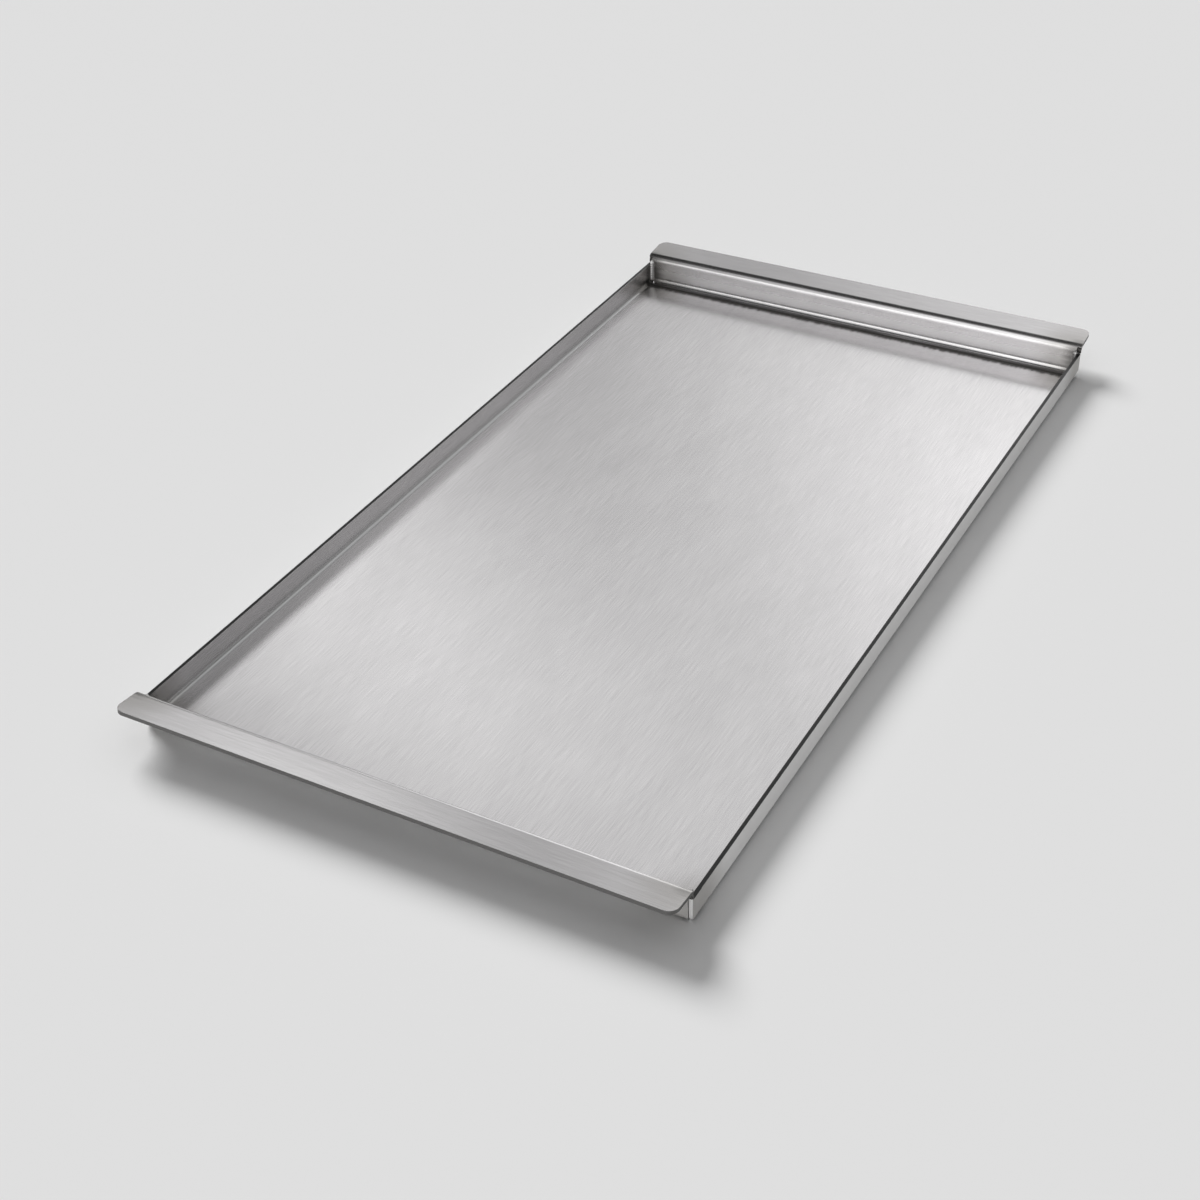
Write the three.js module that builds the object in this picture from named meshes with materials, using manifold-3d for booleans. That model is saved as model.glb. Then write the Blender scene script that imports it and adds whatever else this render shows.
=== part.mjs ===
// Barbecue baking plate: a shallow pan folded from sheet, with an end panel welded in at each end.
// Each end panel carries the end wall and, folded outwards at its top, the flange that serves as a handle.
// Millimetres, +Z up, +X across the plate, +Y towards its rear end.
// The origin is the centre of the underside, on the surface that the plate stands on.
import * as THREE from "three";
import { mergeVertices } from "three/addons/utils/BufferGeometryUtils.js";
import Module from "manifold-3d";

// Driving dimensions
const PAN_WIDTH = 280; // across the outer faces of the two side walls
const PAN_LENGTH = 500; // across the outer faces of the two end walls
const SHEET = 2; // thickness of every sheet
const SIDE_HEIGHT = 14; // top of the side walls above the underside
const END_RISE = 5.5; // crown of an end panel's upper bend above the side walls
const BEND_RADIUS = 2.3; // inside radius of every fold
const FLANGE_REACH = 16.8; // outermost edge of a flange, beyond the end wall's outer face
const FLANGE_TILT = 6; // degrees by which a flange rises outwards
const FLANGE_CORNER = 5; // radius of a flange's two outer corners, seen from above
const LIP = 2; // flat strip of an end panel in the plane of the floor, past its lower bend
const SEAM = 1.5; // width of the butt weld between an end panel's lip and the pan's floor
const WELD_LEG = 2.6; // leg of the fillet weld inside each upright corner

// Clearances
const FIT_GAP = 0.3; // between an end panel and the pan that it sits in
const FUSION_GAP = 0.05; // between weld metal and the sheets that it joins

// Smoothness of arcs and round cutters
const ARC_STEPS = 5;
const ROUND_SIDES = 32;

// Derived places
const halfWidth = PAN_WIDTH / 2;
const halfLength = PAN_LENGTH / 2;
const outerRadius = BEND_RADIUS + SHEET;
const bendHeight = outerRadius; // centre of the lower bends above the underside
const sideBendX = halfWidth - outerRadius; // centre line of a side wall's bend
const lowBendY = halfLength - outerRadius; // centre line of an end panel's lower bend
const highBendY = halfLength + BEND_RADIUS; // centre line of an end panel's upper bend
const highBendZ = SIDE_HEIGHT + END_RISE - outerRadius;
const sideInnerX = halfWidth - SHEET;
const endInnerY = halfLength - SHEET;
const lipEndY = lowBendY - LIP;
const floorEndY = lipEndY - SEAM;
const flangeEndY = halfLength + FLANGE_REACH;
const tilt = THREE.MathUtils.degToRad(FLANGE_TILT);
// The lower edge of a raised flange is its outermost one, and sets the length of the flat.
const flangeFlat = (FLANGE_REACH - BEND_RADIUS * (1 - Math.sin(tilt))) / Math.cos(tilt);
const topZ = highBendZ + (outerRadius + flangeFlat * Math.sin(tilt)) / Math.cos(tilt);

const X = new THREE.Vector3(1, 0, 0);
const Y = new THREE.Vector3(0, 1, 0);
const Z = new THREE.Vector3(0, 0, 1);
const QUARTER = Math.PI / 2;

const wasm = await Module();
wasm.setup();

// Closed three.js geometry as a solid that can be cut and joined.
function solidOf(geometry) {
  geometry.deleteAttribute("normal");
  geometry.deleteAttribute("uv");
  const merged = mergeVertices(geometry);
  const mesh = new wasm.Mesh({
    numProp: 3,
    vertProperties: merged.attributes.position.array,
    triVerts: new Uint32Array(merged.index.array),
  });
  return new wasm.Manifold(mesh);
}

// A solid back as three.js geometry.
function geometryOf(solid) {
  const mesh = solid.getMesh();
  const geometry = new THREE.BufferGeometry();
  geometry.setAttribute("position", new THREE.BufferAttribute(mesh.vertProperties, 3));
  geometry.setIndex(new THREE.BufferAttribute(mesh.triVerts, 1));
  geometry.computeVertexNormals();
  return geometry;
}

// Outline extruded evenly to both sides of its plane; across and up are the outline's own axes.
function prism(outline, depth, across, up) {
  const options = { depth, bevelEnabled: false, curveSegments: ARC_STEPS };
  const geometry = new THREE.ExtrudeGeometry(outline, options);
  geometry.translate(0, 0, -depth / 2);
  const along = new THREE.Vector3().crossVectors(across, up);
  geometry.applyMatrix4(new THREE.Matrix4().makeBasis(across, up, along));
  return solidOf(geometry);
}

// Block between two corners.
function block(low, high) {
  const size = high.clone().sub(low);
  const centre = high.clone().add(low).multiplyScalar(0.5);
  const geometry = new THREE.BoxGeometry(size.x, size.y, size.z);
  geometry.translate(centre.x, centre.y, centre.z);
  return solidOf(geometry);
}

// Cross-section of the pan, a wide U, with skin added all round.
function channelOutline(skin) {
  const inner = BEND_RADIUS - skin;
  const outer = outerRadius + skin;
  const rim = SIDE_HEIGHT + skin;
  const shape = new THREE.Shape();
  shape.moveTo(sideBendX + outer, rim);
  shape.lineTo(sideBendX + outer, bendHeight);
  shape.absarc(sideBendX, bendHeight, outer, 0, -QUARTER, true);
  shape.lineTo(-sideBendX, bendHeight - outer);
  shape.absarc(-sideBendX, bendHeight, outer, -QUARTER, -2 * QUARTER, true);
  shape.lineTo(-sideBendX - outer, rim);
  shape.lineTo(-sideBendX - inner, rim);
  shape.lineTo(-sideBendX - inner, bendHeight);
  shape.absarc(-sideBendX, bendHeight, inner, 2 * QUARTER, 3 * QUARTER, false);
  shape.lineTo(sideBendX, bendHeight - inner);
  shape.absarc(sideBendX, bendHeight, inner, -QUARTER, 0, false);
  shape.lineTo(sideBendX + inner, rim);
  shape.closePath();
  return shape;
}

// Cross-section of the rear end panel, a Z of lip, wall and raised flange, with skin added all round.
function endOutline(skin) {
  const inner = BEND_RADIUS - skin;
  const outer = outerRadius + skin;
  const outwards = new THREE.Vector2(Math.cos(tilt), Math.sin(tilt));
  const upwards = new THREE.Vector2(-Math.sin(tilt), Math.cos(tilt));
  const highBend = new THREE.Vector2(highBendY, highBendZ);
  const reach = flangeFlat + skin;
  const edgeTop = highBend.clone().addScaledVector(upwards, outer).addScaledVector(outwards, reach);
  const edgeBottom = highBend.clone().addScaledVector(upwards, inner).addScaledVector(outwards, reach);
  const shape = new THREE.Shape();
  shape.moveTo(lipEndY - skin, bendHeight - inner);
  shape.lineTo(lowBendY, bendHeight - inner);
  shape.absarc(lowBendY, bendHeight, inner, -QUARTER, 0, false);
  shape.lineTo(lowBendY + inner, highBendZ);
  shape.absarc(highBendY, highBendZ, outer, 2 * QUARTER, QUARTER + tilt, true);
  shape.lineTo(edgeTop.x, edgeTop.y);
  shape.lineTo(edgeBottom.x, edgeBottom.y);
  shape.absarc(highBendY, highBendZ, inner, QUARTER + tilt, 2 * QUARTER, false);
  shape.lineTo(lowBendY + outer, bendHeight);
  shape.absarc(lowBendY, bendHeight, outer, 0, -QUARTER, true);
  shape.lineTo(lipEndY - skin, bendHeight - outer);
  shape.closePath();
  return shape;
}

// Front view of an end panel: it fits between the side walls and shoulders out over their tops.
function endFrontOutline() {
  const corner = BEND_RADIUS - FIT_GAP;
  const shoulder = SIDE_HEIGHT + FIT_GAP;
  const above = topZ + SHEET;
  const shape = new THREE.Shape();
  shape.moveTo(sideBendX - FIT_GAP, -SHEET);
  shape.lineTo(sideBendX - FIT_GAP, bendHeight - corner);
  shape.lineTo(sideBendX, bendHeight - corner);
  shape.absarc(sideBendX, bendHeight, corner, -QUARTER, 0, false);
  shape.lineTo(sideBendX + corner, shoulder);
  shape.lineTo(halfWidth, shoulder);
  shape.lineTo(halfWidth, above);
  shape.lineTo(-halfWidth, above);
  shape.lineTo(-halfWidth, shoulder);
  shape.lineTo(-sideBendX - corner, shoulder);
  shape.lineTo(-sideBendX - corner, bendHeight);
  shape.absarc(-sideBendX, bendHeight, corner, 2 * QUARTER, 3 * QUARTER, false);
  shape.lineTo(-sideBendX + FIT_GAP, bendHeight - corner);
  shape.lineTo(-sideBendX + FIT_GAP, -SHEET);
  shape.closePath();
  return shape;
}

// Plan of the rear end panel: straight ends, and round outer corners on the flange.
function endPlanOutline() {
  const cornerX = halfWidth - FLANGE_CORNER;
  const cornerY = flangeEndY - FLANGE_CORNER;
  const shape = new THREE.Shape();
  shape.moveTo(-halfWidth, 0);
  shape.lineTo(halfWidth, 0);
  shape.lineTo(halfWidth, cornerY);
  shape.absarc(cornerX, cornerY, FLANGE_CORNER, 0, QUARTER, false);
  shape.lineTo(-cornerX, flangeEndY);
  shape.absarc(-cornerX, cornerY, FLANGE_CORNER, QUARTER, 2 * QUARTER, false);
  shape.closePath();
  return shape;
}

// Pan: floor and two side walls folded from one sheet.
// The floor stops short of both ends, where the end panels' lips take its place between the side bends.
function basePan() {
  let pan = prism(channelOutline(0), PAN_LENGTH, X, Z);
  for (const end of [-1, 1]) {
    const near = end * floorEndY;
    const far = end * (halfLength + SHEET);
    const low = new THREE.Vector3(-sideBendX, Math.min(near, far), -SHEET);
    const high = new THREE.Vector3(sideBendX, Math.max(near, far), SHEET + BEND_RADIUS);
    pan = pan.subtract(block(low, high));
  }
  return pan;
}

// Rear end panel, as the common part of its section, its front view and its plan.
function endPanel() {
  const bar = prism(endOutline(0), PAN_WIDTH + 2 * SHEET, Y, Z);
  const front = prism(endFrontOutline(), 2 * (flangeEndY + SHEET), X, Z);
  const plan = prism(endPlanOutline(), 2 * (topZ + SHEET), X, Y);
  return bar.intersect(front).intersect(plan);
}

// Butt weld across the floor, ground flush on both faces.
function floorWeld() {
  const reach = sideBendX - FUSION_GAP;
  const low = new THREE.Vector3(-reach, floorEndY + FUSION_GAP, 0);
  const high = new THREE.Vector3(reach, lipEndY - FUSION_GAP, SHEET);
  return block(low, high);
}

// Hollow fillet weld inside a rear corner, from the floor up to the rim of the side wall.
// side is +1 on the +X side and -1 on the other.
function cornerWeld(side) {
  const hollowX = side * (sideInnerX - WELD_LEG);
  const hollowY = endInnerY - WELD_LEG;
  const hollowZ = SHEET + WELD_LEG;
  const wallX = side * sideInnerX;
  const low = new THREE.Vector3(Math.min(hollowX, wallX), hollowY, SHEET);
  const high = new THREE.Vector3(Math.max(hollowX, wallX), endInnerY, SIDE_HEIGHT);
  const column = new THREE.CylinderGeometry(WELD_LEG, WELD_LEG, SIDE_HEIGHT, ROUND_SIDES);
  column.rotateX(QUARTER);
  column.translate(hollowX, hollowY, hollowZ + SIDE_HEIGHT / 2);
  const ball = new THREE.SphereGeometry(WELD_LEG, ROUND_SIDES, ROUND_SIDES / 2);
  ball.rotateX(QUARTER);
  ball.translate(hollowX, hollowY, hollowZ);
  return block(low, high)
    .subtract(solidOf(column))
    .subtract(solidOf(ball))
    .subtract(prism(channelOutline(FUSION_GAP), 2 * PAN_LENGTH, X, Z))
    .subtract(prism(endOutline(FUSION_GAP), 2 * PAN_WIDTH, Y, Z));
}

// Finishes: the floor is brushed lengthways, the end panels are brushed across, the welds are dressed.
function steel(colour, roughness) {
  return new THREE.MeshStandardMaterial({ color: colour, roughness, metalness: 1 });
}

function piece(name, solid, material) {
  const mesh = new THREE.Mesh(geometryOf(solid), material);
  mesh.name = name;
  return mesh;
}

// One end of the plate as it lies at the rear; the front end is the same group turned half round.
function plateEnd(endName, turn) {
  const end = new THREE.Group();
  end.rotation.z = turn;
  end.add(piece(`${endName}_end_panel`, endPanel(), steel(0xbdbcba, 0.32)));
  end.add(piece(`${endName}_floor_weld`, floorWeld(), steel(0xb5b4b1, 0.38)));
  for (const side of [-1, 1]) {
    const sideName = side * Math.cos(turn) > 0 ? "right" : "left";
    const name = `${endName}_${sideName}_corner_weld`;
    end.add(piece(name, cornerWeld(side), steel(0xaeadab, 0.35)));
  }
  return end;
}

const plate = new THREE.Group();
plate.add(piece("base_pan", basePan(), steel(0xc2c1bf, 0.34)));
plate.add(plateEnd("rear", 0));
plate.add(plateEnd("front", Math.PI));

export default plate;
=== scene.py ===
"""Looks of a barbecue baking plate: folded, brushed sheet with dressed welds, on a plain pale studio floor."""

import math

import bmesh
import bpy
from mathutils import Matrix, Vector


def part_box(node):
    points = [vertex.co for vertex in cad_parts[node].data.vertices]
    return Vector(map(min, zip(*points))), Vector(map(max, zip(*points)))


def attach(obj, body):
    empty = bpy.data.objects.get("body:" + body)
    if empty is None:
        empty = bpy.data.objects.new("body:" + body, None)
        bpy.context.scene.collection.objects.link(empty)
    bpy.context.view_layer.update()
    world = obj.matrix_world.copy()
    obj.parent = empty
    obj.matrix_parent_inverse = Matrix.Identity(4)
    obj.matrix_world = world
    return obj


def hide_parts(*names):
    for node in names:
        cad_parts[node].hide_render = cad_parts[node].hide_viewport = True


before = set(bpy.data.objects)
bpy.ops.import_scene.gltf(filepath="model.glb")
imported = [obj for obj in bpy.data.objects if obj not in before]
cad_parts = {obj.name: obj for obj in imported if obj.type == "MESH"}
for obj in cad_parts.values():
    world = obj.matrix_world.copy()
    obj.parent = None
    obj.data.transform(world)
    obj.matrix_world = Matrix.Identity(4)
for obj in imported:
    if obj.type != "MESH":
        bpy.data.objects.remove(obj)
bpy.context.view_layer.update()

# Sizes in metres. Outer sizes come from the frame, and the sheet's own sizes are named here.
pan_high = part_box("base_pan")[1]
end_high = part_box("rear_end_panel")[1]
HALF_WIDTH = pan_high.x
HALF_LENGTH = pan_high.y
SIDE_HEIGHT = pan_high.z
FLANGE_END = end_high.y
SHEET = 0.002
BEND_RADIUS = 0.0023
END_RISE = 0.0055
FLANGE_TILT = math.radians(6)
FLANGE_CORNER = 0.005
LIP = 0.002
SEAM = 0.0015
FIT_GAP = 0.0003
WELD_LEG = 0.0021
WELD_FOOT = 0.0004
WELD_RISE = 0.0024
RIPPLE = 0.03
RIPPLE_STEP = 0.0016
SEAM_CROWN = 0.00006
SEAM_UNEVEN = 0.00003
EDGE_ROUND = 0.0003
END_ROUND = 0.0012
NOTCH_STEP = 0.0003
NOTCH_DEPTH = 0.6

# Places worked out from the sizes
OUTER_RADIUS = BEND_RADIUS + SHEET
SIDE_BEND_X = HALF_WIDTH - OUTER_RADIUS
SIDE_INNER_X = HALF_WIDTH - SHEET
END_INNER_Y = HALF_LENGTH - SHEET
LOW_BEND_Y = HALF_LENGTH - OUTER_RADIUS
HIGH_BEND_Y = HALF_LENGTH + BEND_RADIUS
HIGH_BEND_Z = SIDE_HEIGHT + END_RISE - OUTER_RADIUS
LIP_END_Y = LOW_BEND_Y - LIP
FLOOR_END_Y = LIP_END_Y - SEAM
SHOULDER_Z = SIDE_HEIGHT + FIT_GAP
FLANGE_RUN = FLANGE_END - HALF_LENGTH - BEND_RADIUS * (1 - math.sin(FLANGE_TILT))
FLANGE_FLAT = FLANGE_RUN / math.cos(FLANGE_TILT)

# Mesh fineness
BEND_STEPS = 14
CORNER_STEPS = 10
WELD_ROWS = 40
WELD_POINTS = 9
SEAM_ROWS = 200
SEAM_POINTS = 7

# The photograph's camera
CAMERA_PLACE = Vector((0.38637, -0.74416, 0.55516))
CAMERA_AIM = Vector((-0.00052, -0.07117, 0.0))
CAMERA_ROLL = math.radians(-1.935)
CAMERA_LENS = 58.08
CAMERA_SENSOR = 36.0

# Studio light. A softbox has its azimuth, elevation, half width, half height and soft edge in degrees,
# and then its strength. Azimuth 0 is to the right of the plate, and 90 is behind it.
SOFTBOXES = {
    "back panel": (83.5, 38, 38, 14, 16, 0.8),
    "back glow": (101, 16, 10, 26, 18, 0.86),
    "back right": (92, 38, 9, 6, 12, 0.8),
    "back low": (110, 8, 13, 12, 16, 1.0),
    "right glow": (54, 32, 8, 14, 16, 0.42),
    "left panel": (130.5, 35, 7.5, 6, 12, 2.3),
    "front panel": (-90, 24, 18, 32, 34, 2.8),
    "front low": (-116, 13, 12, 6, 10, 1.0),
    "front top": (-114, 48, 14, 12, 20, 0.8),
    "right side": (-28, 22, 58, 40, 24, 0.65),
    "left side": (172, 24, 20, 16, 20, 0.65),
    "left front": (-158, 18, 26, 24, 20, 0.65),
}
AMBIENT = 0.05
CEILING = 0.6
CEILING_EDGE = (-0.22, -0.05)
CEILING_RISE = (0.65, 0.85)
BACKDROP = 0.74
BACKDROP_TOP = math.radians(14)
BACKDROP_SOFT = math.radians(6)
KEY = {"azimuth": 149, "elevation": 35, "spread": 26, "strength": 3.0}
FILL = {"azimuth": 0, "elevation": 90, "spread": 120, "strength": 1.17}
FLOOR_COLOUR = 0.8

# Finishes, and the colours of painted shade, painted sheen and painted light
STEEL = (0.546, 0.537, 0.541)
END_STEEL = (0.486, 0.478, 0.481)
# Painted shade: near black, for the dark band along the floor seams, up the inside corners and in the notches
# under the flanges
PAINTED_DARK = (0.045, 0.043, 0.041)
STRAW = (0.31, 0.3, 0.285)
# Painted shade on the side walls' lower bends, which damps their mirrored light
FOLD_SHADE_GREY = (0.36, 0.36, 0.36)
# Painted light: the backs of the walls are painted paler
PAINTED_LIGHT_PALE = (0.7, 0.697, 0.692)
# Painted sheen, paler low on the end walls
PAINTED_SHEEN = (0.57, 0.56, 0.564)

# Brushing: width and length of the marks in metres, and how far each kind changes the tone
HAIRS = (0.0005, 0.016)
STROKES = (0.002, 0.05)
CLOUDS = (0.02, 0.05)
HAIR_TONE = 0.06
STROKE_TONE = 0.015
CLOUD_TONE = 0.02
GRAIN_DEPTH = 0.000004
GRAIN_WEAR = 0.005
UNEVEN_SIZE = (0.0015, 0.0015, 0.0015)
UNEVEN_DEPTH = 0.00003
UNEVEN_WEAR = 0.06

# Other marks, among them painted shade and sheen: where each begins and where it is full, in metres, its share,
# and the roughness it adds
# Painted dark reflection along the floor seams
SEAM_SHADE = (0.0048, 0.001)
SEAM_TOP = (0.008, 0.004)
SEAM_RAGGED = 0.0006
# Painted shade up the inside corners
CORNER_SHADE = (0.01, 0.002)
CORNER_TINT = (0.032, 0.006)
CORNER_RAGGED = 0.001
SHADE_SHARE = 0.7
TINT_SHARE = 0.65
INNER_HALF = (0.6 * SHEET, 0.4 * SHEET)
WALL_FOOT = (0.0036, 0.006)
WALL_HEAD = (HIGH_BEND_Z, HIGH_BEND_Z - 0.008)
# Painted sheen on the end walls: none at the first height, full below the second
SHEEN_SPAN = (SIDE_HEIGHT, 0.0055)
FOLD_TOP = (0.0042, 0.003)
FOLD_EDGE = (SIDE_BEND_X - 0.0002, SIDE_BEND_X + 0.0006)
SHADE_WEAR = 0.12
WALL_WEAR = 0.12
BACK_WEAR = 0.3

FOOD, BACK = 0, 1
SHEET_FACE, RIM, SIDE_EDGE, NOTCH = range(4)
QUARTER = math.pi / 2


def bend(centre, food_radius, back_radius, start, end, steps=BEND_STEPS):
    """Stations round a fold: pairs of a point on the food side and a point on the back."""
    made = []
    for step in range(steps + 1):
        angle = start + (end - start) * step / steps
        ray = Vector((math.cos(angle), math.sin(angle)))
        made.append((centre + ray * food_radius, centre + ray * back_radius))
    return made


def folded_sheet(name, stations, columns, filled, place, sunk=lambda i, k: 0.0):
    """Mesh of a folded blank: cells over the unrolled sheet, given its thickness, with open cells left out.

    stations run across the folds, columns(i) are the places along the folds at station i, filled(i, k) says
    whether the blank has the cell between stations i, i + 1 and columns k, k + 1, place(point, along) puts a
    point of the section into the frame, and sunk(i, k) is the share of the thickness ground off the food side.
    """
    rows = [columns(i) for i in range(len(stations))]
    cells = {(i, k) for i in range(len(stations) - 1) for k in range(len(rows[i]) - 1) if filled(i, k)}
    work = bmesh.new()
    made = {}

    def vertex(i, k, side):
        if (i, k, side) not in made:
            food, back = stations[i]
            point = food.lerp(back, sunk(i, k)) if side == FOOD else back
            made[i, k, side] = work.verts.new(place(point, rows[i][k]))
        return made[i, k, side]

    for i, k in sorted(cells):
        ring = [(i, k), (i + 1, k), (i + 1, k + 1), (i, k + 1)]
        neighbours = [(i, k - 1), (i + 1, k), (i, k + 1), (i - 1, k)]
        finishes = [SIDE_EDGE, RIM, SIDE_EDGE, RIM]
        top = work.faces.new([vertex(*corner, FOOD) for corner in ring])
        top.material_index = NOTCH if any(sunk(*corner) for corner in ring) else SHEET_FACE
        work.faces.new([vertex(*corner, BACK) for corner in reversed(ring)])
        for here, there, neighbour, finish in zip(ring, ring[1:] + ring[:1], neighbours, finishes):
            if neighbour not in cells:
                edge = [vertex(*there, FOOD), vertex(*here, FOOD), vertex(*here, BACK), vertex(*there, BACK)]
                work.faces.new(edge).material_index = finish
    return finished(name, work)


def finished(name, work):
    """The worked mesh as a smooth-shaded object in the scene."""
    bmesh.ops.recalc_face_normals(work, faces=work.faces)
    for face in work.faces:
        face.smooth = True
    mesh = bpy.data.meshes.new(name)
    work.to_mesh(mesh)
    work.free()
    piece = bpy.data.objects.new(name, mesh)
    bpy.context.scene.collection.objects.link(piece)
    return piece


def soften_edges(piece, width=EDGE_ROUND):
    """Rounds the deburred edges, and keeps flat faces flat in the shading."""
    rounding = piece.modifiers.new("deburred edges", "BEVEL")
    rounding.width = width
    rounding.segments = 3
    rounding.limit_method = "ANGLE"
    rounding.angle_limit = math.radians(40)
    shading = piece.modifiers.new("flat faces", "WEIGHTED_NORMAL")
    shading.keep_sharp = True


def round_ends(piece, chosen, width=END_ROUND):
    """Rounds the edges whose two points are both chosen."""
    points = piece.data.vertices
    weights = piece.data.attributes.new("bevel_weight_edge", "FLOAT", "EDGE").data
    for edge in piece.data.edges:
        weights[edge.index].value = float(all(chosen(points[v].co) for v in edge.vertices))
    rounding = piece.modifiers.new("dressed ends", "BEVEL")
    rounding.width = width
    rounding.segments = 4
    rounding.limit_method = "WEIGHT"


def dress(piece, node, slot, *materials):
    """The piece takes a node's place, rides on the plate and gets its finishes."""
    for material in materials:
        piece.data.materials.append(material)
    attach(piece, "root")
    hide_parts(node)


def base_pan():
    """Floor and two side walls, with the floor cut short at both ends for the end panels' lips."""
    right = bend(Vector((SIDE_BEND_X, OUTER_RADIUS)), BEND_RADIUS, OUTER_RADIUS, 0, -QUARTER)
    left = bend(Vector((-SIDE_BEND_X, OUTER_RADIUS)), BEND_RADIUS, OUTER_RADIUS, -QUARTER, -2 * QUARTER)
    right_rim = (Vector((SIDE_INNER_X, SIDE_HEIGHT)), Vector((HALF_WIDTH, SIDE_HEIGHT)))
    left_rim = (Vector((-SIDE_INNER_X, SIDE_HEIGHT)), Vector((-HALF_WIDTH, SIDE_HEIGHT)))
    floor_row = len(right)
    stations = [right_rim, *right, *left, left_rim]

    def columns(i):
        """Ends dressed round to the end panels' lower bends, and the seams."""
        drop = max(0.0, OUTER_RADIUS - stations[i][BACK].y)
        end = LOW_BEND_Y + math.sqrt(OUTER_RADIUS**2 - drop**2)
        return [-max(end, FLOOR_END_Y), -FLOOR_END_Y, FLOOR_END_Y, max(end, FLOOR_END_Y)]

    return folded_sheet(
        "base_pan_sheet",
        stations,
        columns,
        filled=lambda i, k: k == 1 or i != floor_row,
        place=lambda point, along: Vector((point.x, along, point.y)),
    )


def on_outer_end(point):
    """Whether a point of the pan is on the outer edge of a side wall's end."""
    drop = max(0.0, OUTER_RADIUS - point.z)
    out = max(0.0, abs(point.x) - SIDE_BEND_X)
    return abs(point.y) > LIP_END_Y and math.hypot(out, drop) > OUTER_RADIUS - 1e-6


def end_stations():
    """Section of an end panel from its lip to the flange's edge, as distance outwards and height.

    Also the row of the shoulder over the side walls and the row where the flange leaves its bend.
    """
    low_bend = bend(Vector((LOW_BEND_Y, OUTER_RADIUS)), BEND_RADIUS, OUTER_RADIUS, -QUARTER, 0)
    high_centre = Vector((HIGH_BEND_Y, HIGH_BEND_Z))
    high_bend = bend(high_centre, OUTER_RADIUS, BEND_RADIUS, 2 * QUARTER, QUARTER + FLANGE_TILT)
    outwards = Vector((math.cos(FLANGE_TILT), math.sin(FLANGE_TILT)))
    lip_end = (Vector((LIP_END_Y, SHEET)), Vector((LIP_END_Y, 0)))
    shoulder = (Vector((END_INNER_Y, SHOULDER_Z)), Vector((HALF_LENGTH, SHOULDER_Z)))
    stations = [lip_end, *low_bend, shoulder, *high_bend]
    corner_start = FLANGE_FLAT - FLANGE_CORNER
    for step in range(CORNER_STEPS + 1):
        run = corner_start + FLANGE_CORNER * math.sin(QUARTER * step / CORNER_STEPS)
        stations.append(tuple(point + outwards * run for point in high_bend[-1]))
    shoulder_row = len(low_bend) + 1
    return stations, shoulder_row, shoulder_row + len(high_bend)


def end_panel(name, turn):
    """Lip, end wall and handle flange; turn is 1 at the rear and -1 at the front."""
    stations, shoulder_row, flange_row = end_stations()
    corner = BEND_RADIUS - FIT_GAP
    fitted_x = SIDE_BEND_X + corner
    last = len(stations) - 1
    notch_row = shoulder_row + BEND_STEPS // 2

    def fitted_half(i):
        """Half width between the side walls, round their lower bends."""
        drop = OUTER_RADIUS - stations[i][FOOD].y
        if drop <= 0:
            return fitted_x
        if drop >= corner:
            return SIDE_BEND_X - FIT_GAP
        return SIDE_BEND_X + math.sqrt(corner**2 - drop**2)

    def flange_half(i):
        """Half width over the side walls, drawn in round the flange's outer corners."""
        turned = QUARTER * max(0, i - (last - CORNER_STEPS)) / CORNER_STEPS
        return HALF_WIDTH - FLANGE_CORNER * (1 - math.cos(turned))

    def columns(i):
        outer = flange_half(i)
        inner = min(fitted_half(i), outer - (HALF_WIDTH - fitted_x))
        middle = inner - FLANGE_CORNER
        half = [middle, inner, inner + NOTCH_STEP, outer]
        return [-x for x in reversed(half)] + half

    def sunk(i, k):
        return NOTCH_DEPTH if k in (0, 1, 6, 7) and shoulder_row <= i <= notch_row else 0.0

    return folded_sheet(
        name,
        stations,
        columns,
        filled=lambda i, k: k in (2, 3, 4) or i >= shoulder_row,
        place=lambda point, along: Vector((along * turn, point.x * turn, point.y)),
        sunk=sunk,
    )


def swept(name, sections):
    """Closed body over rows of points, each row a closed section."""
    work = bmesh.new()
    rows = [[work.verts.new(point) for point in section] for section in sections]
    for low, high in zip(rows, rows[1:]):
        for a in range(len(low)):
            b = (a + 1) % len(low)
            work.faces.new([low[a], low[b], high[b], high[a]])
    work.faces.new(list(reversed(rows[0])))
    work.faces.new(rows[-1])
    return finished(name, work)


def corner_weld(name, side, turn):
    """Rounded bead up an inside corner, with slight ripples, drawn in at both ends, and its root in the gap."""
    sections = []
    foot = SHEET + WELD_FOOT
    head = SIDE_HEIGHT + WELD_RISE
    for row in range(WELD_ROWS + 1):
        share = row / WELD_ROWS
        height = foot + (head - foot) * share
        taper = math.sqrt(min(1.0, 0.2 + 9 * min(share, 1 - share)))
        leg = WELD_LEG * taper * (1 + RIPPLE * math.sin(2 * math.pi * height / RIPPLE_STEP))
        in_gap = OUTER_RADIUS < height < SIDE_HEIGHT
        root = HALF_LENGTH - EDGE_ROUND if in_gap else END_INNER_Y + EDGE_ROUND / 2
        section = [(SIDE_INNER_X - FIT_GAP, root), (SIDE_INNER_X, root)]
        for step in range(WELD_POINTS):
            turned = QUARTER * step / (WELD_POINTS - 1)
            section.append((SIDE_INNER_X - leg * math.sin(turned), END_INNER_Y - leg * math.cos(turned)))
        section.append((SIDE_INNER_X - FIT_GAP, END_INNER_Y))
        sections.append([Vector((x * side, y * turn, height)) for x, y in section])
    return swept(name, sections)


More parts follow.
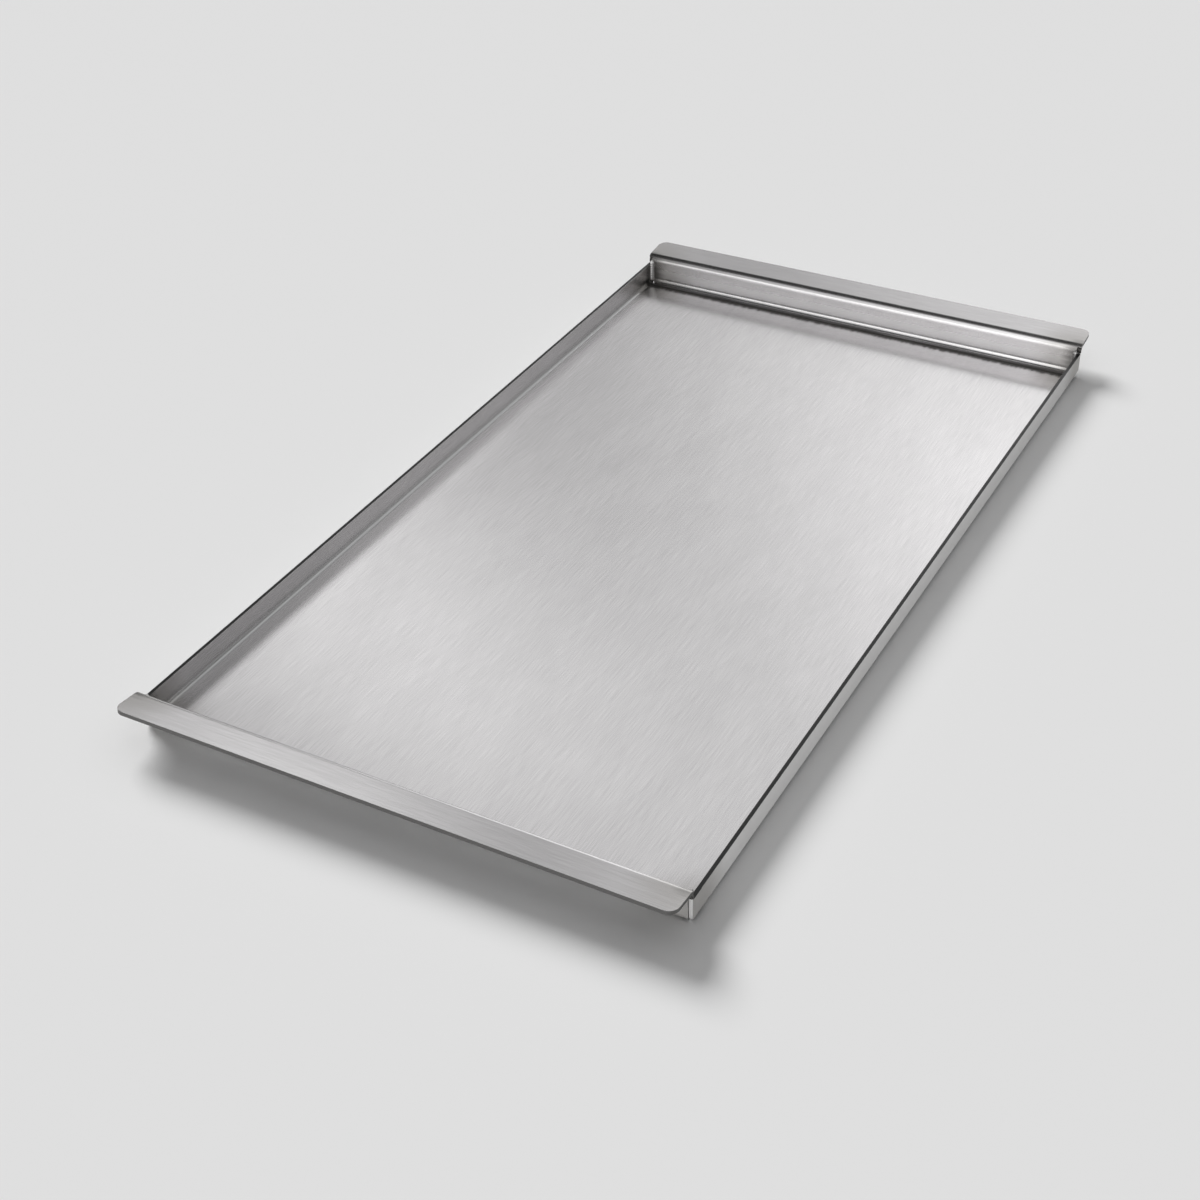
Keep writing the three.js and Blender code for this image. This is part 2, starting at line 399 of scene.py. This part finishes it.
def floor_weld(name, turn):
    """Butt weld across the floor, ground almost flush and faintly crowned."""
    reach = SIDE_BEND_X - FIT_GAP
    sections = []
    for row in range(SEAM_ROWS + 1):
        x = -reach + 2 * reach * row / SEAM_ROWS
        crown = SEAM_CROWN + SEAM_UNEVEN * math.sin(row * 0.9) * math.sin(row * 0.23)
        section = [(FLOOR_END_Y, 0.0), (LIP_END_Y, 0.0)]
        for step in range(SEAM_POINTS):
            share = step / (SEAM_POINTS - 1)
            section.append((LIP_END_Y - SEAM * share, SHEET + crown * math.sin(math.pi * share)))
        sections.append([Vector((x, y * turn, z)) for y, z in section])
    return swept(name, sections)


class Graph:
    """Short way to add and link the nodes of a material or the world."""

    def __init__(self, tree):
        self.nodes = tree.nodes
        self.links = tree.links

    def node(self, kind, inputs, **settings):
        made = self.nodes.new(kind)
        for key, value in settings.items():
            setattr(made, key, value)
        for key, value in dict(inputs).items():
            self.feed(made, key, value)
        return made

    def feed(self, node, key, value):
        if isinstance(value, bpy.types.NodeSocket):
            self.links.new(value, node.inputs[key])
        else:
            node.inputs[key].default_value = value

    def math(self, operation, *values):
        return self.node("ShaderNodeMath", enumerate(values), operation=operation).outputs[0]

    def vector(self, operation, *values):
        return self.node("ShaderNodeVectorMath", enumerate(values), operation=operation)

    def split(self, vector):
        return self.node("ShaderNodeSeparateXYZ", {0: vector}).outputs

    def ramp(self, value, start, end, low=0.0, high=1.0, smooth=True):
        """Goes from low at start to high at end, and stays level outside."""
        inputs = {"Value": value, "From Min": start, "From Max": end, "To Min": low, "To Max": high}
        kind = "SMOOTHSTEP" if smooth else "LINEAR"
        return self.node("ShaderNodeMapRange", inputs, interpolation_type=kind).outputs["Result"]

    def blend(self, share, first, second):
        """Colour from first to second."""
        made = self.node("ShaderNodeMix", {}, data_type="RGBA")
        self.feed(made, 0, share)
        self.feed(made, 6, first)
        self.feed(made, 7, second)
        return made.outputs[2]

    def bump(self, height, depth):
        """Shading normals of a surface whose marks have the given depth in metres."""
        return self.node("ShaderNodeBump", {"Height": height, "Distance": depth, "Strength": 1.0}).outputs[0]

    def noise(self, place, size, detail=2.0, roughness=0.5):
        """Noise whose marks have the given size in metres along X, Y and Z."""
        scaled = self.vector("DIVIDE", place, size).outputs[0]
        inputs = {"Vector": scaled, "Scale": 1.0, "Detail": detail, "Roughness": roughness}
        return self.node("ShaderNodeTexNoise", inputs).outputs["Fac"]


def new_steel(name, roughness, colour):
    """Plain metal, to be given its grain."""
    material = bpy.data.materials.new(name)
    material.use_nodes = True
    graph = Graph(material.node_tree)
    shader = graph.nodes["Principled BSDF"]
    shader.inputs["Metallic"].default_value = 1.0
    shader.inputs["Base Color"].default_value = (*colour, 1)
    shader.inputs["Roughness"].default_value = roughness
    return material, graph, shader


def shade_and_heat_marks(graph, place, ragged):
    """Painted dark reflection along the floor seams and painted shade up the inside corners, and wide tint
    round the corners, each from 0 to 1.
    """
    x, y, z = graph.split(graph.vector("ABSOLUTE", place).outputs[0])
    off_seam = graph.math("ABSOLUTE", graph.math("SUBTRACT", y, FLOOR_END_Y))
    off_seam = graph.math("ADD", off_seam, graph.ramp(ragged, 0.3, 0.7, -SEAM_RAGGED, SEAM_RAGGED))
    # Painted dark reflection along the floor seams, beside the end walls
    seam = graph.ramp(off_seam, *SEAM_SHADE)
    seam = graph.math("MULTIPLY", seam, graph.ramp(z, *SEAM_TOP))
    seam = graph.math("MULTIPLY", seam, graph.ramp(x, HALF_WIDTH - 0.0004, HALF_WIDTH - 0.0008))
    above = graph.math("MAXIMUM", graph.math("SUBTRACT", z, SIDE_HEIGHT), 0.0)
    beside = graph.math("SUBTRACT", x, SIDE_INNER_X)
    beyond = graph.math("SUBTRACT", y, END_INNER_Y)
    offset = graph.node("ShaderNodeCombineXYZ", {0: beside, 1: beyond, 2: above}).outputs[0]
    off_corner = graph.vector("LENGTH", offset).outputs["Value"]
    off_corner = graph.math("ADD", off_corner, graph.ramp(ragged, 0.3, 0.7, -CORNER_RAGGED, CORNER_RAGGED))
    inside = graph.ramp(graph.math("MAXIMUM", beside, beyond), *INNER_HALF)
    inside = graph.math("MAXIMUM", inside, graph.ramp(z, SIDE_HEIGHT, SHOULDER_Z))
    # Painted shade: near black close to the inside corners
    corner_shade = graph.math("MULTIPLY", graph.ramp(off_corner, *CORNER_SHADE), SHADE_SHARE)
    corner_shade = graph.math("MULTIPLY", corner_shade, inside)
    tint = graph.math("MULTIPLY", graph.ramp(off_corner, *CORNER_TINT), TINT_SHARE)
    return graph.math("MAXIMUM", seam, corner_shade), tint


def dull_marks(graph, place):
    """Where the brushing is duller, from 0 to 1: the food side of the end walls and the backs of all walls. The
    same masks place a painted sheen low on the end walls and paler paint on the backs, which is painted light.
    """
    x, y, z = graph.split(graph.vector("ABSOLUTE", place).outputs[0])
    wall = graph.math("MULTIPLY", graph.ramp(z, *WALL_FOOT), graph.ramp(z, *WALL_HEAD))
    wall = graph.math("MULTIPLY", wall, graph.ramp(y, END_INNER_Y - 0.0004, END_INNER_Y - 0.0002))
    inner, outer = INNER_HALF
    side_back = graph.ramp(x, HALF_WIDTH - inner, HALF_WIDTH - outer)
    end_back = graph.ramp(y, HALF_LENGTH - inner, HALF_LENGTH - outer)
    back = graph.math("MAXIMUM", side_back, end_back)
    return wall, graph.math("MULTIPLY", back, graph.ramp(z, SHOULDER_Z, SIDE_HEIGHT))


def painted_fold_shade(graph, place):
    """Painted shade on the lower bends along the side walls, from 0 to 1, which damps their mirrored light."""
    x, _, z = graph.split(graph.vector("ABSOLUTE", place).outputs[0])
    return graph.math("MULTIPLY", graph.ramp(z, *FOLD_TOP), graph.ramp(x, *FOLD_EDGE))


def brushing(graph, place, grain_axis):
    """Fine hairs and longer strokes along one axis, and the tone that they and soft clouds give."""

    def drawn_out(width, length):
        return tuple(length if axis == grain_axis else width for axis in range(3))

    hairs = graph.noise(place, drawn_out(*HAIRS), detail=1.0)
    strokes = graph.noise(place, drawn_out(*STROKES), detail=1.0)
    clouds = graph.noise(place, drawn_out(*CLOUDS), detail=0.0)
    tone = 1.0
    for marks, depth in ((hairs, HAIR_TONE), (strokes, STROKE_TONE), (clouds, CLOUD_TONE)):
        tone = graph.math("ADD", graph.ramp(marks, 0.2, 0.8, -depth, depth), tone)
    return hairs, strokes, tone


def brushed_steel(name, colour, grain_axis, roughness, anisotropy):
    """Brushed stainless sheet with its grain along one axis of the plate."""
    material, graph, shader = new_steel(name, roughness, colour)
    shader.inputs["Anisotropic"].default_value = anisotropy
    shader.inputs["Anisotropic Rotation"].default_value = 0.25
    graph.feed(shader, "Tangent", graph.node("ShaderNodeCombineXYZ", {grain_axis: 1.0}).outputs[0])
    place = graph.node("ShaderNodeTexCoord", {}).outputs["Object"]
    hairs, strokes, tone = brushing(graph, place, grain_axis)
    seam_and_corner_shade, tint = shade_and_heat_marks(graph, place, strokes)
    wall, back = dull_marks(graph, place)
    # Painted sheen: the end walls paler towards the bottom
    sheen = graph.ramp(graph.split(place)[2], *SHEEN_SPAN, smooth=False)
    sheen = graph.math("MULTIPLY", wall, sheen)
    # Painted shade on the side folds
    fold_shade = painted_fold_shade(graph, place)
    shade = graph.node("ShaderNodeVectorMath", {0: colour, "Scale": tone}, operation="SCALE").outputs[0]
    # Colours laid on in turn: painted sheen, painted fold shade, painted light on the backs, heat tint, then
    # painted shade and dark reflection
    for share, finish in ((sheen, PAINTED_SHEEN), (fold_shade, FOLD_SHADE_GREY), (back, PAINTED_LIGHT_PALE), (tint, STRAW), (seam_and_corner_shade, PAINTED_DARK)):
        shade = graph.blend(share, shade, (*finish, 1))
    wear = graph.ramp(strokes, 0.2, 0.8, roughness - GRAIN_WEAR, roughness + GRAIN_WEAR)
    for share, added in ((seam_and_corner_shade, SHADE_WEAR), (wall, WALL_WEAR), (back, BACK_WEAR)):
        wear = graph.math("MULTIPLY_ADD", share, added, wear)
    graph.feed(shader, "Base Color", shade)
    graph.feed(shader, "Roughness", wear)
    graph.feed(shader, "Normal", graph.bump(hairs, GRAIN_DEPTH))
    return material


def plain_steel(name, roughness, colour):
    """Cut edges and weld metal: steel with a faint unevenness; some of them are given painted highlight or
    painted shade as their colour.
    """
    material, graph, shader = new_steel(name, roughness, colour)
    place = graph.node("ShaderNodeTexCoord", {}).outputs["Object"]
    uneven = graph.noise(place, UNEVEN_SIZE)
    wear = graph.ramp(uneven, 0.3, 0.7, roughness - UNEVEN_WEAR, roughness + UNEVEN_WEAR)
    graph.feed(shader, "Roughness", wear)
    graph.feed(shader, "Normal", graph.bump(uneven, UNEVEN_DEPTH))
    return material


def studio_floor():
    """Plain pale floor."""
    bpy.ops.mesh.primitive_plane_add(size=60, location=(0, 0, -0.0001))
    floor = bpy.context.object
    floor.name = "studio_floor"
    material = bpy.data.materials.new("studio_floor")
    material.use_nodes = True
    shader = material.node_tree.nodes["Principled BSDF"]
    shader.inputs["Base Color"].default_value = (FLOOR_COLOUR, FLOOR_COLOUR, FLOOR_COLOUR, 1)
    shader.inputs["Roughness"].default_value = 1.0
    shader.inputs["Specular IOR Level"].default_value = 0.0
    floor.data.materials.append(material)


def softbox(graph, direction, elevation, place, strength):
    """Light of one softbox; place is its azimuth, elevation, half width, half height and soft edge."""
    azimuth, height, half_width, half_height, soft = map(math.radians, place)
    turned = graph.node(
        "ShaderNodeVectorRotate", {"Vector": direction, "Angle": -azimuth}, rotation_type="Z_AXIS"
    ).outputs[0]
    ahead, left, _ = graph.split(turned)
    aside = graph.math("ABSOLUTE", graph.math("ARCTAN2", left, ahead))
    above = graph.math("ABSOLUTE", graph.math("SUBTRACT", elevation, height))
    across = graph.ramp(aside, half_width + soft / 2, half_width - soft / 2)
    upright = graph.ramp(above, half_height + soft / 2, half_height - soft / 2)
    return graph.math("MULTIPLY", graph.math("MULTIPLY", across, upright), strength)


def studio_world():
    """Pale backdrop, which the metal mirrors too, a ceiling on the right and large softboxes, far away."""
    world = bpy.data.worlds.new("studio")
    bpy.context.scene.world = world
    world.use_nodes = True
    world.cycles_visibility.diffuse = False
    graph = Graph(world.node_tree)
    direction = graph.node("ShaderNodeTexCoord", {}).outputs["Generated"]
    x, _, z = graph.split(direction)
    elevation = graph.math("ARCSINE", z)
    ceiling = graph.math("MULTIPLY", graph.ramp(x, *CEILING_EDGE), graph.ramp(z, *CEILING_RISE))
    low = graph.ramp(elevation, BACKDROP_TOP + BACKDROP_SOFT, BACKDROP_TOP - BACKDROP_SOFT)
    light = graph.math("MULTIPLY_ADD", ceiling, CEILING, AMBIENT)
    light = graph.math("MULTIPLY_ADD", low, BACKDROP, light)
    for *place, strength in SOFTBOXES.values():
        light = graph.math("ADD", light, softbox(graph, direction, elevation, place, strength))
    seen = graph.node("ShaderNodeLightPath", {}).outputs["Is Camera Ray"]
    background = graph.nodes["Background"]
    background.inputs["Color"].default_value = (1, 1, 1, 1)
    graph.feed(background, "Strength", graph.ramp(seen, 0.0, 1.0, light, BACKDROP, smooth=False))


def studio_lamp(name, azimuth, elevation, spread, strength):
    """Distant soft lamp for the floor and its shadow; metal mirrors the softboxes instead."""
    data = bpy.data.lights.new(name, "SUN")
    data.energy = strength
    data.angle = math.radians(spread)
    lamp = bpy.data.objects.new(name, data)
    bpy.context.scene.collection.objects.link(lamp)
    turned, raised = math.radians(azimuth), math.radians(elevation)
    level = math.cos(raised)
    towards = Vector((level * math.cos(turned), level * math.sin(turned), math.sin(raised)))
    lamp.rotation_euler = towards.to_track_quat("Z", "Y").to_euler()
    lamp.visible_glossy = False


def studio_camera():
    """The photograph's point of view."""
    data = bpy.data.cameras.new("camera")
    data.lens = CAMERA_LENS
    data.sensor_width = CAMERA_SENSOR
    data.clip_end = 100
    camera = bpy.data.objects.new("camera", data)
    bpy.context.scene.collection.objects.link(camera)
    facing = (CAMERA_AIM - CAMERA_PLACE).to_track_quat("-Z", "Y").to_matrix().to_4x4()
    camera.matrix_world = Matrix.Translation(CAMERA_PLACE) @ facing @ Matrix.Rotation(CAMERA_ROLL, 4, "Z")
    bpy.context.scene.camera = camera


studio_camera()
studio_world()
studio_lamp("key", **KEY)
studio_lamp("fill", **FILL)
studio_floor()

pan_steel = brushed_steel("pan_steel", STEEL, 1, 0.23, 0.97)
end_steel = brushed_steel("end_steel", END_STEEL, 0, 0.2, 0.8)
rim_steel = plain_steel("rim_steel", 0.45, (0.04, 0.04, 0.04))
cut_steel = plain_steel("cut_steel", 0.4, (0.15, 0.148, 0.145))
# Painted highlight: the pan's wall ends are pale and rough to show bright stripes
painted_highlight_steel = plain_steel("painted_highlight_steel", 0.6, (0.85, 0.845, 0.84))
# Painted shade and dark reflection: near black on the floor beads and in the notches under the flanges
painted_dark_steel = plain_steel("painted_dark_steel", 0.5, PAINTED_DARK)
bead_steel = plain_steel("bead_steel", 0.4, (0.45, 0.447, 0.441))

pan = base_pan()
round_ends(pan, on_outer_end)
soften_edges(pan)
dress(pan, "base_pan", "pan_sheet", pan_steel, rim_steel, painted_highlight_steel)
for end_name, turn in (("rear", 1), ("front", -1)):
    panel = end_panel(f"{end_name}_end_sheet", turn)
    soften_edges(panel)
    # The notches under the flanges are painted near black as shade
    dress(panel, f"{end_name}_end_panel", "end_sheet", end_steel, cut_steel, cut_steel, painted_dark_steel)
    seam = floor_weld(f"{end_name}_floor_bead", turn)
    # The floor beads are painted near black as a dark reflection
    dress(seam, f"{end_name}_floor_weld", "weld", painted_dark_steel)
    for side_name, side in (("right", 1), ("left", -1)):
        bead = corner_weld(f"{end_name}_{side_name}_corner_bead", side, turn)
        dress(bead, f"{end_name}_{side_name}_corner_weld", "weld", bead_steel)

bpy.context.scene.view_settings.view_transform = "Standard"
